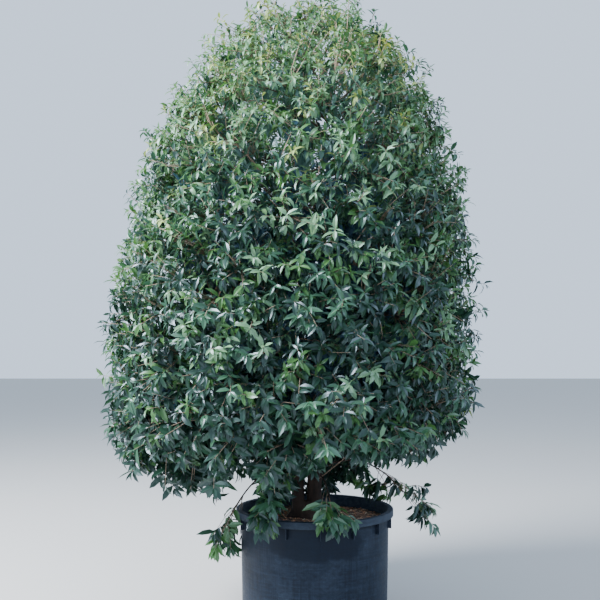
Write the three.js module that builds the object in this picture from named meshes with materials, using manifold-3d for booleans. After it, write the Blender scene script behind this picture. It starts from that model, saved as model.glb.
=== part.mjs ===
// A fragrant olive shrub in its nursery pot, as named solids.
// Millimetres, +Z up. The origin is at the middle of the pot's underside.
// The plant is seen from -Y, so +X is to the viewer's right.
import * as THREE from 'three';
import { mergeVertices } from 'three/addons/utils/BufferGeometryUtils.js';
import Module from 'manifold-3d';

const wasm = await Module();
wasm.setup();

// The gap left between two pieces that meet, how much wider a limb is made to cut its
// neighbours by, and how closely vertices merge.
const GAP = 0.3;
const WIDER = 0.45;
const MERGE = 1e-3;
const SMALLEST_EDGE = 0.05;

// The pot: a ribbed rim with a skirt, on a slightly tapering wall.
const POT = {
  height: 640,
  rimRadius: 450,
  rimRounding: 4,
  skirtHeight: 38,
  skirtThickness: 4.5,
  flangeThickness: 5,
  wallRadiusTop: 424,
  wallRadiusFoot: 409,
  wallThickness: 5,
  baseThickness: 6,
  footRounding: 14,
  sides: 34,
};
const RIBS = { count: 15, firstAngle: -87, thickness: 5, reach: 443, sunk: 1.2, below: 60 };
const DRAIN = { count: 8, width: 46, height: 12, depth: 40 };

// The potting mix fills the pot to a little under the rim.
const MIX = { edgeHeight: 574, heapHeight: 585, heapRadius: 150 };

// The crown: a dome above its widest height and a rounded bowl below it.
const CROWN = {
  radius: 1025,
  widestHeight: 1500,
  topHeight: 3670,
  domePower: 2.25,
  bowlPower: 4.4,
  bowlHeight: 800,
  bowlTilt: 100,
  bowlLowSide: 160,
  axisLow: { height: 900, x: -150 },
  axisHigh: { height: 3300, x: -50 },
  seatShare: 0.66,
  middleHeight: 1700,
};

// The rings of foliage masses round the crown, from the lowest up.
const RINGS = [
  { name: 'low', count: 5, height: 1150, firstAngle: -90, attach: 890, attachStep: 45 },
  { name: 'middle', count: 5, height: 1720, firstAngle: -54, attach: 1190, attachStep: 60 },
  { name: 'upper', count: 4, height: 2330, firstAngle: -100, attach: 1760, attachStep: 70 },
  { name: 'high', count: 3, height: 2860, firstAngle: -75, attach: 2290, attachStep: 60 },
];
const TOP = { seat: [-60, -20, 3130], face: [-40, 0, 3670] };
const INNER_HEIGHTS = [700, 1150, 1600, 2050, 2480];

// Sprays that hang outside the crown's bowl, round the rim of the pot.
const SPRAYS = [
  { name: 'front_left', seat: [-265, -470, 660], tips: [[-300, -505, 665], [-225, -520, 650]],
    root: 'stem_left' },
  { name: 'front_middle', seat: [85, -478, 680], tips: [[35, -520, 690], [140, -510, 670]],
    root: 'stem_right' },
  { name: 'left', seat: [-500, -150, 560], tips: [[-530, -190, 540], [-525, -90, 520]],
    root: 'stem_left' },
  { name: 'right', seat: [540, 215, 690], tips: [[480, 300, 700], [665, 190, 650]],
    root: 'stem_right' },
];
const SPRAY = { attach: 740, attachStep: 32, lift: 170, rootRadius: 7, tipRadius: 4 };

// Limb sizes.
const TRUNK = { footHeight: 585, flareHeight: 75, flareRadiusX: 116, flareRadiusY: 82, lobes: 5,
  lobeDepth: 0.15, topRadiusX: 78, topRadiusY: 38, forkHeight: 860, middleX: -42,
  sides: 15, flareSteps: 3, steps: 4 };
const STEMS = [
  { name: 'stem_left', points: [[-92, 0, 600], [-102, -4, 860], [-165, -40, 1450], [-185, -70, 2150],
    [-85, -30, 2760]], rootRadius: 38, tipRadius: 13 },
  { name: 'stem_right', points: [[-3, 0, 600], [14, -2, 860], [118, 8, 1010], [196, 12, 1220],
    [178, 0, 1850], [130, -120, 2480]], rootRadius: 45, tipRadius: 12 },
];
const BACK_STEM = { name: 'stem_back', root: 'stem_left', rootHeight: 980,
  points: [[-130, 130, 1400], [-60, 170, 2000], [-110, 190, 2450]], rootRadius: 29, tipRadius: 12 };
const BOUGH = { rootRadius: 17, tipRadius: 9, lift: 0.35, sides: 5, steps: 4 };
const STEM = { sides: 7, steps: 10, least: 60 };
const SPINE_STEPS = 14;

// Foliage: stems, twigs and leaves of a mass, and the core they stand out of.
const MASS = { stemTipRadius: 5, stemSteps: 3 };
const CORE = { inset: 190, reach: 0.93, innerReach: 0.6, innerCone: 0.4, detail: 1 };
const TWIG = { total: 112, radius: 8, tipRadius: 6, sides: 4, rootFrom: 0.85, rootTo: 0.97, inset: 145,
  scatter: 40, shortest: 55, pairs: 2, firstPair: 18, pairSpacing: 34, gather: 0.1,
  testPoints: 6 };
const LEAF = { length: 245, width: 112, thickness: 9, widestAt: 0.44, recurve: 30, sunk: 1,
  spread: 1.5, droop: 0.25, lean: 0.4, smallest: 0.82, shortened: 0.7, tries: [1, 0.6, 0.3] };
const TARGET_BANDS = 240;
const SEED = 11;
const CELL_MARGIN = 3;
const ENTRY_STEPS = 400;
const HALVINGS = 30;
const LIMB_CLEARANCE = 14;
const POT_CLEARANCE = 12;

const COLOURS = {
  pot: { color: 0x23282d, roughness: 0.62, metalness: 0 },
  mix: { color: 0x2e221b, roughness: 0.97, metalness: 0 },
  bark: { color: 0x4a3a30, roughness: 0.9, metalness: 0 },
  foliage: { color: 0x2c5533, roughness: 0.45, metalness: 0 },
};

const group = new THREE.Group();
const UP = new THREE.Vector3(0, 0, 1);
const AWAY = new THREE.Vector3(0, 1, 0);
const STEEP = 0.75;
const degrees = THREE.MathUtils.degToRad;

// A seeded run of numbers from 0 to 1.
function seededRandom(seed) {
  let state = seed >>> 0;
  return () => {
    state = (state + 0x6d2b79f5) >>> 0;
    let mixed = Math.imul(state ^ (state >>> 15), state | 1);
    mixed ^= mixed + Math.imul(mixed ^ (mixed >>> 7), mixed | 61);
    return ((mixed ^ (mixed >>> 14)) >>> 0) / 4294967296;
  };
}

function vector([x, y, z]) {
  return new THREE.Vector3(x, y, z);
}

// A closed mesh as a solid that can be joined and cut.
function solid(geometry) {
  geometry.deleteAttribute('normal');
  geometry.deleteAttribute('uv');
  const merged = mergeVertices(geometry, MERGE);
  return new wasm.Manifold(new wasm.Mesh({
    numProp: 3,
    vertProperties: new Float32Array(merged.attributes.position.array),
    triVerts: new Uint32Array(merged.index.array),
  }));
}

// The largest piece of a solid, without scraps and tiny edges.
function mainPiece(body) {
  const pieces = body.simplify(SMALLEST_EDGE).decompose();
  return pieces.reduce((best, piece) => (piece.volume() > best.volume() ? piece : best));
}

function addNode(name, body, finish) {
  const mesh = body.getMesh();
  const geometry = new THREE.BufferGeometry();
  geometry.setAttribute('position', new THREE.BufferAttribute(mesh.vertProperties, 3));
  geometry.setIndex(new THREE.BufferAttribute(mesh.triVerts, 1));
  geometry.computeVertexNormals();
  const node = new THREE.Mesh(geometry, new THREE.MeshStandardMaterial(finish));
  node.name = name;
  group.add(node);
}

// A solid of revolution about Z from a closed profile of [radius, height] points.
function turned(profile, sides) {
  const points = profile.map(([radius, height]) => new THREE.Vector2(radius, height));
  const geometry = new THREE.LatheGeometry(points, sides);
  geometry.rotateX(Math.PI / 2);
  return solid(geometry);
}

// The directions along and across a curve, where a section stands on it.
function sectionAt(curve, share, roll = 0) {
  const chord = curve.getPoint(1).sub(curve.getPoint(0)).normalize();
  const tangent = curve.getTangentAt(share);
  const side = (Math.abs(chord.z) > STEEP ? AWAY : UP).clone().cross(tangent).normalize();
  side.applyAxisAngle(tangent, roll);
  return { tangent, side, over: side.clone().cross(tangent) };
}

// A tapering tube along a curve, from share `from` to share `to` of its length.
function tube(curve, { from = 0, to = 1, radiusAt, sides, steps, gap = 0, roll = 0 }) {
  const geometry = new THREE.CylinderGeometry(1, 1, 1, sides, steps);
  const position = geometry.attributes.position;
  for (let i = 0; i < position.count; i += 1) {
    const step = Math.round((position.getY(i) + 0.5) * steps);
    const share = Math.min(1, from + ((to - from) * step) / steps);
    const { tangent, side, over } = sectionAt(curve, share, roll);
    const place = curve.getPointAt(share);
    if (step === 0) place.addScaledVector(tangent, gap);
    place.addScaledVector(side, position.getX(i) * radiusAt(share));
    place.addScaledVector(over, position.getZ(i) * radiusAt(share));
    position.setXYZ(i, place.x, place.y, place.z);
  }
  return solid(geometry);
}

function crownAxis(height) {
  const { axisLow, axisHigh } = CROWN;
  return THREE.MathUtils.mapLinear(height, axisLow.height, axisHigh.height, axisLow.x, axisHigh.x);
}

// How far the crown reaches from its axis at a height, towards an angle in radians, or how
// far a shell inside it by an inset reaches.
function crownRadius(height, angle, inset = 0) {
  const { radius, widestHeight, topHeight, domePower, bowlPower, bowlHeight, bowlTilt } = CROWN;
  const bottom = bowlHeight - bowlTilt * Math.cos(angle - degrees(CROWN.bowlLowSide)) + inset / 2;
  const share = height > widestHeight
    ? ((height - widestHeight) / (topHeight - inset - widestHeight)) ** domePower
    : ((widestHeight - height) / (widestHeight - bottom)) ** bowlPower;
  return (radius - inset) * Math.sqrt(Math.max(0, 1 - share));
}

function insideCrown(point, inset) {
  const x = point.x - crownAxis(point.z);
  return Math.hypot(x, point.y) < crownRadius(point.z, Math.atan2(point.y, x), inset);
}

function onCrownAxis(height) {
  return new THREE.Vector3(crownAxis(height), 0, height);
}

function onCrown(height, angle, share = 1) {
  const radius = crownRadius(height, angle) * share;
  const outward = new THREE.Vector3(Math.cos(angle), Math.sin(angle), 0);
  return onCrownAxis(height).addScaledVector(outward, radius);
}

// The seats of all masses. A mass keeps to the space nearer to its own seat than to any other.
function makeMasses() {
  const masses = [];
  for (const ring of RINGS) {
    for (let i = 0; i < ring.count; i += 1) {
      const angle = degrees(ring.firstAngle + (360 * i) / ring.count);
      masses.push({
        name: `foliage_${ring.name}_${i + 1}`,
        bough: `bough_${ring.name}_${i + 1}`,
        seat: onCrown(ring.height, angle, CROWN.seatShare),
        face: onCrown(ring.height, angle),
        attach: ring.attach + ring.attachStep * (i % 3),
        angle,
        dense: true,
      });
    }
  }
  masses.push({ name: 'foliage_top', seat: vector(TOP.seat), face: vector(TOP.face), dense: true });
  SPRAYS.forEach((spray, i) => masses.push({
    name: `spray_${spray.name}`,
    bough: `shoot_${spray.name}`,
    seat: vector(spray.seat),
    attach: SPRAY.attach + SPRAY.attachStep * i,
    tips: spray.tips.map(vector),
    root: spray.root,
    dense: false,
  }));
  return masses;
}

const masses = makeMasses();
const innerSeats = INNER_HEIGHTS.map(onCrownAxis);
const allSeats = [...masses.map((mass) => mass.seat), ...innerSeats];

// The distance from a point to the nearest side of a mass's space, negative outside it.
function depthInCell(point, mass) {
  let depth = Infinity;
  for (const seat of allSeats) {
    if (seat === mass.seat) continue;
    const away = seat.clone().sub(mass.seat);
    const middle = seat.clone().add(mass.seat).multiplyScalar(0.5);
    depth = Math.min(depth, middle.sub(point).dot(away.normalize()));
  }
  return depth;
}

// Limbs already made, a little wider, to cut the next ones by.
const built = [];

// Limbs that foliage keeps clear of, each a list of points with the radius there.
const limbs = [];

function addLimb(curve, radiusAt, from, to) {
  const spine = [];
  for (let i = 0; i <= SPINE_STEPS; i += 1) {
    const share = from + ((to - from) * i) / SPINE_STEPS;
    spine.push({ point: curve.getPointAt(share), radius: radiusAt(share) });
  }
  limbs.push(spine);
}

function clearOfLimbs(point) {
  const line = new THREE.Line3();
  const nearest = new THREE.Vector3();
  return limbs.every((spine) => spine.slice(1).every(({ point: end, radius }, i) => {
    line.set(spine[i].point, end);
    line.closestPointToPoint(point, true, nearest);
    return nearest.distanceTo(point) > Math.max(radius, spine[i].radius) + LIMB_CLEARANCE;
  }));
}

function clearOfPot(point) {
  return point.z > POT.height + POT_CLEARANCE
    || Math.hypot(point.x, point.y) > POT.rimRadius + POT_CLEARANCE;
}

function makePot() {
  const { height, rimRadius, rimRounding, skirtHeight, skirtThickness, flangeThickness } = POT;
  const { wallRadiusTop, wallRadiusFoot, wallThickness, baseThickness, footRounding } = POT;
  const taper = (wallRadiusTop - wallRadiusFoot) / height;
  let pot = turned([
    [0, 0],
    [wallRadiusFoot - footRounding, 0],
    [wallRadiusFoot, footRounding],
    [wallRadiusTop, height - flangeThickness],
    [rimRadius - skirtThickness, height - flangeThickness],
    [rimRadius - skirtThickness, height - skirtHeight],
    [rimRadius, height - skirtHeight],
    [rimRadius, height - rimRounding],
    [rimRadius - rimRounding, height],
    [wallRadiusTop - wallThickness + rimRounding, height],
    [wallRadiusTop - wallThickness, height - rimRounding],
    [wallRadiusFoot - wallThickness + taper * baseThickness, baseThickness],
    [0, baseThickness],
  ], POT.sides);
  const ribBottom = height - skirtHeight - RIBS.below;
  const ribTop = height - flangeThickness / 2;
  const inside = wallRadiusTop - wallThickness + RIBS.sunk;
  for (let i = 0; i < RIBS.count; i += 1) {
    const rib = new THREE.BoxGeometry(RIBS.reach - inside, RIBS.thickness, ribTop - ribBottom);
    rib.translate((RIBS.reach + inside) / 2, 0, (ribTop + ribBottom) / 2);
    rib.rotateZ(degrees(RIBS.firstAngle + (360 * i) / RIBS.count));
    pot = pot.add(solid(rib));
  }
  for (let i = 0; i < DRAIN.count; i += 1) {
    const notch = new THREE.BoxGeometry(DRAIN.depth, DRAIN.width, DRAIN.height * 2);
    notch.translate(wallRadiusFoot, 0, 0);
    notch.rotateZ(degrees((360 * (i + 0.5)) / DRAIN.count));
    pot = pot.subtract(solid(notch));
  }
  addNode('nursery_pot', mainPiece(pot), COLOURS.pot);
}

function makeMix() {
  const { height, wallRadiusTop, wallRadiusFoot, wallThickness, baseThickness } = POT;
  const taper = (wallRadiusTop - wallRadiusFoot) / height;
  const wallAt = (z) => wallRadiusFoot - wallThickness - 2 * GAP + taper * z;
  const bottom = baseThickness + GAP;
  const wallFoot = bottom + DRAIN.height;
  addNode('potting_mix', turned([
    [0, bottom],
    [wallAt(bottom) - DRAIN.depth, bottom],
    [wallAt(wallFoot), wallFoot],
    [wallAt(MIX.edgeHeight), MIX.edgeHeight],
    [MIX.heapRadius, MIX.heapHeight],
    [0, MIX.heapHeight],
  ], POT.sides), COLOURS.mix);
}

function tapering(rootRadius, tipRadius) {
  return (share) => rootRadius + (tipRadius - rootRadius) * share;
}

function shareAtHeight(curve, height) {
  let low = 0;
  let high = 1;
  for (let i = 0; i < HALVINGS; i += 1) {
    const middle = (low + high) / 2;
    if (curve.getPointAt(middle).z < height) low = middle;
    else high = middle;
  }
  return (low + high) / 2;
}

// The trunk: one flared foot that parts into the lower ends of both main stems.
function trunkSolid(mainStems, grow) {
  const { footHeight, flareHeight, lobes, lobeDepth, middleX } = TRUNK;
  const foot = new THREE.CylinderGeometry(1, 1, 1, TRUNK.sides, TRUNK.flareSteps);
  const position = foot.attributes.position;
  for (let i = 0; i < position.count; i += 1) {
    const rise = position.getY(i) + 0.5;
    const angle = Math.atan2(position.getX(i), position.getZ(i));
    const out = Math.hypot(position.getX(i), position.getZ(i));
    const flare = (1 - rise) ** 2;
    const lobe = 1 + lobeDepth * flare * Math.cos(lobes * angle);
    const radiusX = grow + TRUNK.topRadiusX + (TRUNK.flareRadiusX - TRUNK.topRadiusX) * flare;
    const radiusY = grow + TRUNK.topRadiusY + (TRUNK.flareRadiusY - TRUNK.topRadiusY) * flare;
    position.setXYZ(i,
      middleX + radiusX * out * lobe * Math.sin(angle),
      -radiusY * out * lobe * Math.cos(angle),
      footHeight + GAP + rise * flareHeight);
  }
  return mainStems.reduce((trunk, { curve, radiusAt, start }) => trunk.add(tube(curve, {
    to: start,
    radiusAt: (share) => grow + radiusAt(share),
    sides: STEM.sides,
    steps: TRUNK.steps,
  })), solid(foot));
}

function makeTrunk(mainStems) {
  for (const { curve, radiusAt, start } of mainStems) addLimb(curve, radiusAt, 0, start);
  built.push(trunkSolid(mainStems, WIDER));
  addNode('trunk', mainPiece(trunkSolid(mainStems, 0)), COLOURS.bark);
}

// The two main stems, and a third that parts from the left one to the back.
function makeStems() {
  const stems = {};
  for (const { name, points, rootRadius, tipRadius } of STEMS) {
    const curve = new THREE.CatmullRomCurve3(points.map(vector));
    const start = shareAtHeight(curve, TRUNK.forkHeight);
    stems[name] = { name, curve, radiusAt: tapering(rootRadius, tipRadius), start };
  }
  const root = stems[BACK_STEM.root];
  const rootPoint = root.curve.getPointAt(shareAtHeight(root.curve, BACK_STEM.rootHeight));
  const backCurve = new THREE.CatmullRomCurve3([rootPoint, ...BACK_STEM.points.map(vector)]);
  stems[BACK_STEM.name] = { name: BACK_STEM.name, curve: backCurve, start: 0,
    radiusAt: tapering(BACK_STEM.rootRadius, BACK_STEM.tipRadius) };
  return stems;
}

// A limb or a mass is cut by the limbs made before it, so that it meets them with the gap.
function cutByBuilt(body) {
  return built.reduce((rest, wider) => rest.subtract(wider), body);
}

function placeLimb(name, curve, radiusAt, size) {
  const body = mainPiece(cutByBuilt(tube(curve, { ...size, radiusAt })));
  built.push(tube(curve, { ...size, radiusAt: (share) => radiusAt(share) + WIDER }));
  addLimb(curve, radiusAt, size.from, size.to);
  addNode(name, body, COLOURS.bark);
}

// Where along its limb's curve a mass begins.
function entryShare(curve, mass) {
  for (let i = ENTRY_STEPS; i > 0; i -= 1) {
    const inside = depthInCell(curve.getPointAt(i / ENTRY_STEPS), mass) > CELL_MARGIN;
    if (!inside) return (i + 1) / ENTRY_STEPS;
  }
  return 1 / ENTRY_STEPS;
}

// The stem whose place at a height lies furthest towards an angle.
function nearestStem(stems, height, angle) {
  const outward = new THREE.Vector3(Math.cos(angle), Math.sin(angle), 0);
  const standing = Object.values(stems).filter(({ curve }) => (
    curve.getPointAt(0).z < height - STEM.least && curve.getPointAt(1).z > height + STEM.least));
  const reachOf = ({ curve }) => curve.getPointAt(shareAtHeight(curve, height)).dot(outward);
  return standing.reduce((best, stem) => (reachOf(stem) > reachOf(best) ? stem : best));
}

// The curve of a bough and of the foliage stem that goes on from it.
function boughCurve(mass, stems) {
  const stem = mass.root ? stems[mass.root] : nearestStem(stems, mass.attach, mass.angle);
  const root = stem.curve.getPointAt(shareAtHeight(stem.curve, mass.attach));
  const control = root.clone().lerp(mass.seat, 0.5);
  if (mass.root) control.z = Math.max(root.z, mass.seat.z) + SPRAY.lift;
  else control.z += BOUGH.lift * Math.abs(mass.seat.z - root.z);
  return new THREE.QuadraticBezierCurve3(root, control, mass.seat.clone());
}

// The end of a main stem carries the mass above it.
function tipCurve(stem, mass) {
  const tip = stem.curve.getPointAt(1);
  const control = tip.clone().addScaledVector(stem.curve.getTangentAt(1), tip.distanceTo(mass.seat) / 2);
  return new THREE.QuadraticBezierCurve3(tip, control, mass.seat.clone());
}

// A leaf: a blade of six faces with a keel under it, curved down at its tip.
function leaf(base, direction, upward, size) {
  const along = direction.clone().normalize();
  const across = new THREE.Vector3().crossVectors(along, upward).normalize();
  const over = new THREE.Vector3().crossVectors(across, along);
  const geometry = new THREE.SphereGeometry(1, 3, 2);
  const position = geometry.attributes.position;
  const blade = [];
  for (let i = 0; i < position.count; i += 1) {
    const [y, z] = [position.getY(i), position.getZ(i)];
    const place = base.clone();
    if (Math.abs(y) > 0.5) {
      place.addScaledVector(along, y > 0 ? LEAF.length * size : -LEAF.sunk);
      if (y > 0) place.addScaledVector(over, -LEAF.recurve * size);
    } else {
      const isKeel = Math.abs(z) < 0.5;
      place.addScaledVector(along, LEAF.widestAt * LEAF.length * size);
      if (isKeel) place.addScaledVector(over, -LEAF.thickness * size);
      else place.addScaledVector(across, (-Math.sign(z) * LEAF.width * size) / 2);
    }
    position.setXYZ(i, place.x, place.y, place.z);
    if (y > -0.5) blade.push(place);
  }
  return { body: () => solid(geometry), blade };
}

function fits(points, mass) {
  return points.every((point) => depthInCell(point, mass) > CELL_MARGIN
    && clearOfLimbs(point) && clearOfPot(point));
}

// The points of a leaf that are tested: its corners and the middles between them.
function leafPoints({ blade }, base) {
  const corners = [base, ...blade];
  return corners.flatMap((corner, i) => [corner,
    ...corners.slice(i + 1).map((other) => corner.clone().lerp(other, 0.5))]).slice(1);
}

// A four-sided twig with a leaf at its tip and pairs of leaves behind it, each pair crossing
// the next. A leaf that would leave the mass's space is turned forward and made shorter, and
// is left off where that isn't enough.
function twig(mass, root, tip, random) {
  const length = root.distanceTo(tip);
  const curve = new THREE.LineCurve3(root, tip);
  if (!fits(curve.getPoints(TWIG.testPoints).slice(1), mass)) return [];
  const roll = random() * Math.PI;
  const radiusAt = tapering(TWIG.radius, TWIG.tipRadius);
  const bodies = [tube(curve, { radiusAt, sides: TWIG.sides, steps: 1, roll })];
  const forward = curve.getTangentAt(1);
  const upward = UP.clone().addScaledVector(forward, LEAF.lean);
  const place = (share, aside, sign) => {
    const base = curve.getPointAt(share);
    const size = LEAF.smallest + (1 - LEAF.smallest) * random();
    for (const ease of LEAF.tries) {
      const direction = forward.clone().addScaledVector(aside, sign * LEAF.spread * ease);
      direction.normalize().addScaledVector(UP, -LEAF.droop * ease);
      const made = leaf(base, direction, upward, size * (LEAF.shortened + (1 - LEAF.shortened) * ease));
      const outside = made.blade.every((point) => !insideCrown(point, CORE.inset));
      if (outside && fits(leafPoints(made, base), mass)) {
        bodies.push(made.body());
        return;
      }
    }
  };
  place(1 - TWIG.tipRadius / length, UP, 0);
  for (let pair = 0; pair < TWIG.pairs; pair += 1) {
    const share = 1 - (TWIG.firstPair + pair * TWIG.pairSpacing) / length;
    const { side, over } = sectionAt(curve, share, roll);
    const aside = side.clone().addScaledVector(over, pair % 2 ? -1 : 1).normalize();
    for (const sign of [1, -1]) place(share, aside, sign);
  }
  return bodies;
}

// The core of a dense mass: a ball drawn out to near the sides of the mass's own space.
function core(mass) {
  const geometry = new THREE.IcosahedronGeometry(1, CORE.detail);
  const position = geometry.attributes.position;
  const direction = new THREE.Vector3();
  const point = new THREE.Vector3();
  const inward = onCrownAxis(mass.seat.z).sub(mass.seat).normalize();
  const holds = (distance) => {
    point.copy(mass.seat).addScaledVector(direction, distance);
    return depthInCell(point, mass) > CELL_MARGIN && insideCrown(point, CORE.inset) && clearOfPot(point);
  };
  for (let i = 0; i < position.count; i += 1) {
    direction.fromBufferAttribute(position, i).normalize();
    let near = 0;
    let far = CROWN.radius;
    for (let step = 0; step < HALVINGS; step += 1) {
      const middle = (near + far) / 2;
      if (holds(middle)) near = middle;
      else far = middle;
    }
    const share = direction.dot(inward) > CORE.innerCone ? CORE.innerReach : CORE.reach;
    point.copy(mass.seat).addScaledVector(direction, near * share);
    position.setXYZ(i, point.x, point.y, point.z);
  }
  return solid(geometry);
}

// The points on the crown that twigs grow to, at equal shares of its surface.
function crownTargets() {
  const lowest = CROWN.bowlHeight - CROWN.bowlTilt;
  const step = (CROWN.topHeight - lowest) / TARGET_BANDS;
  const sums = [0];
  for (let i = 0; i < TARGET_BANDS; i += 1) {
    const here = crownRadius(lowest + i * step, 0);
    const next = crownRadius(lowest + (i + 1) * step, 0);
    sums.push(sums[i] + ((here + next) / 2) * Math.hypot(step, next - here));
  }
  const random = seededRandom(SEED);
  const targets = [];
  for (let i = 0; i < TWIG.total; i += 1) {
    const wanted = ((i + 0.5) / TWIG.total) * sums[TARGET_BANDS];
    const band = sums.findIndex((sum) => sum > wanted) - 1;
    const share = (wanted - sums[band]) / (sums[band + 1] - sums[band]);
    const angle = i * Math.PI * (3 - Math.sqrt(5));
    const point = onCrown(lowest + (band + share) * step, angle);
    const inward = onCrownAxis(CROWN.middleHeight).sub(point).normalize();
    targets.push(point.addScaledVector(inward, TWIG.inset + TWIG.scatter * (2 * random() - 1)));
  }
  return targets;
}

function makeFoliage(mass, targets, random) {
  const { curve, from } = mass;
  const tipRadius = mass.dense ? BOUGH.tipRadius : SPRAY.tipRadius;
  const radiusAt = (share) => (
    tipRadius + ((share - from) / (1 - from)) * (MASS.stemTipRadius - tipRadius));
  const bodies = [tube(curve, { from, to: 1, gap: GAP, radiusAt, sides: 3, steps: MASS.stemSteps })];
  targets.forEach((target, i) => {
    const along = TWIG.rootFrom + ((TWIG.rootTo - TWIG.rootFrom) * (i + 1)) / targets.length;
    const root = curve.getPointAt(from + (1 - from) * along);
    if (root.distanceTo(target) > TWIG.shortest) bodies.push(...twig(mass, root, target, random));
  });
  if (mass.dense) bodies.push(core(mass));
  addNode(mass.name, mainPiece(cutByBuilt(wasm.Manifold.union(bodies))), COLOURS.foliage);
}

// Build, from the ground up.
makePot();
makeMix();
const stems = makeStems();
makeTrunk([stems.stem_left, stems.stem_right]);
for (const { name, curve, radiusAt, start } of Object.values(stems)) {
  placeLimb(name, curve, radiusAt, { from: start, to: 1, gap: start > 0 ? GAP : 0,
    sides: STEM.sides, steps: STEM.steps });
}

const seatsAtTips = new Map([['foliage_top', stems.stem_left], ['foliage_high_1', stems.stem_right],
  ['foliage_high_3', stems.stem_back]]);
for (const mass of masses) {
  const stem = seatsAtTips.get(mass.name);
  if (stem) {
    mass.curve = tipCurve(stem, mass);
    mass.from = 0;
    continue;
  }
  mass.curve = boughCurve(mass, stems);
  mass.from = entryShare(mass.curve, mass);
  const [rootRadius, tipRadius] = mass.dense
    ? [BOUGH.rootRadius, BOUGH.tipRadius]
    : [SPRAY.rootRadius, SPRAY.tipRadius];
  const radiusAt = (share) => rootRadius + (tipRadius - rootRadius) * (share / mass.from);
  placeLimb(mass.bough, mass.curve, radiusAt, { from: 0, to: mass.from,
    sides: BOUGH.sides, steps: BOUGH.steps });
}

const targets = crownTargets();
masses.forEach((mass, i) => {
  const own = mass.tips ?? targets.filter((target) => depthInCell(target, mass) > CELL_MARGIN)
    .map((target) => target.clone().lerp(mass.face, TWIG.gather));
  makeFoliage(mass, own, seededRandom(SEED + 1 + i));
});

export default group;
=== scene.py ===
# A fragrant olive shrub in its nursery pot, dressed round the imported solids.
# Metres, +Z up, seen from -Y. The origin is the middle of the pot's underside.
from math import cos, pi, radians, sin, sqrt

import bpy
import numpy as np
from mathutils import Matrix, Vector, noise
from numpy.linalg import norm


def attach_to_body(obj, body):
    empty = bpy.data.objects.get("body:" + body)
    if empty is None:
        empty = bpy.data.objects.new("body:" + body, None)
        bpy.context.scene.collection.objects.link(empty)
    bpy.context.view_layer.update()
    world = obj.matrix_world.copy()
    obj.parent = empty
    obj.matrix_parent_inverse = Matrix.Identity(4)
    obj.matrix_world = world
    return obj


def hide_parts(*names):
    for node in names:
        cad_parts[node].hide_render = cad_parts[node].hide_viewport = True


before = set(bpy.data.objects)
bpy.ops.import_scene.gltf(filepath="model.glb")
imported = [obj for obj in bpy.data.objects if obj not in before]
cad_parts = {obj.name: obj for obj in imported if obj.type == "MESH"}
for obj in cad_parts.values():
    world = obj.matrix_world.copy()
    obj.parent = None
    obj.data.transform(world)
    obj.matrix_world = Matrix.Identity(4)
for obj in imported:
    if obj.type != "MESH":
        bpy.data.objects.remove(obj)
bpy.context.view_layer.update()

# Each kind of growth has random numbers of its own.
SEED = 11
SEEDS = {"bare": 2, "foliage": 3, "hanging": 4, "rim": 5}
UP = np.array([0.0, 0.0, 1.0])

# The camera of the picture.
CAMERA_PLACE = (-0.084, -4.6, 1.48)
CAMERA_TILT = radians(94.4)
CAMERA_LENS = 47.1
SENSOR_WIDTH = 36.0

# The crown: a dome above its widest height and a rounded bowl below it.
CROWN_RADIUS = 1.025
CROWN_WIDEST = 1.5
CROWN_TOP = 3.67
DOME_POWER = 2.25
BOWL_POWER = 4.4
BOWL_HEIGHT = 0.8
BOWL_TILT = 0.1
BOWL_LOW_SIDE = radians(160)
AXIS_LOW = (0.9, -0.15)
AXIS_HIGH = (3.3, -0.05)
SEAT_SHARE = 0.66
CROWN_MIDDLE = 1.7
CROWN_BANDS = 400

# The rings of foliage masses: name, count, height, first angle, attach height and its step.
RINGS = (
    ("low", 5, 1.15, -90, 0.89, 0.045),
    ("middle", 5, 1.72, -54, 1.19, 0.06),
    ("upper", 4, 2.33, -100, 1.76, 0.07),
    ("high", 3, 2.86, -75, 2.29, 0.06),
)
TOP_SEAT = (-0.06, -0.02, 3.13)
# These masses grow from a stem's tip.
MASSES_AT_TIPS = {"foliage_top": "stem_left", "foliage_high_1": "stem_right",
                  "foliage_high_3": "stem_back"}
# Heights on the crown's axis that belong to no mass.
INNER_HEIGHTS = (0.7, 1.15, 1.6, 2.05, 2.48)
ENTRY_MARGIN = 0.003
ENTRY_STEPS = 400

# The sprays round the rim: name, seat, and the stem that each grows from.
SPRAYS = (
    ("front_left", (-0.265, -0.47, 0.66), "stem_left"),
    ("front_middle", (0.085, -0.478, 0.68), "stem_right"),
    ("left", (-0.5, -0.15, 0.56), "stem_left"),
    ("right", (0.54, 0.215, 0.69), "stem_right"),
)
SPRAY_ATTACH = 0.74
SPRAY_ATTACH_STEP = 0.032
SPRAY_LIFT = 0.17
SPRAY_RADII = (0.006, 0.003)
SPRAY_COLLAR = 0.4

# The stems: points, and the radius at the root and at the tip.
STEMS = {
    "stem_left": (((-0.092, 0, 0.6), (-0.102, -0.004, 0.86), (-0.165, -0.04, 1.45),
                   (-0.185, -0.07, 2.15), (-0.085, -0.03, 2.76)), 0.038, 0.013),
    "stem_right": (((-0.003, 0, 0.6), (0.014, -0.002, 0.86), (0.118, 0.008, 1.01),
                    (0.196, 0.012, 1.22), (0.178, 0, 1.85), (0.13, -0.12, 2.48)), 0.045, 0.012),
}
BACK_STEM_ROOT = 0.98
BACK_STEM = ((-0.13, 0.13, 1.4), (-0.06, 0.17, 2.0), (-0.11, 0.19, 2.45))
BACK_STEM_RADII = (0.029, 0.012)
STEM_LEAST = 0.06
BOUGH_RADII = (0.017, 0.009)
BOUGH_LIFT = 0.35
BOUGH_COLLAR = 0.5
MASS_TIP_RADIUS = 0.005
COLLAR_SHARE = 0.1
FORK_TOP = 1.22
FORK_OVERLAP = 0.02


def seeded(kind):
    return np.random.default_rng([SEED, SEEDS[kind]])


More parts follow.
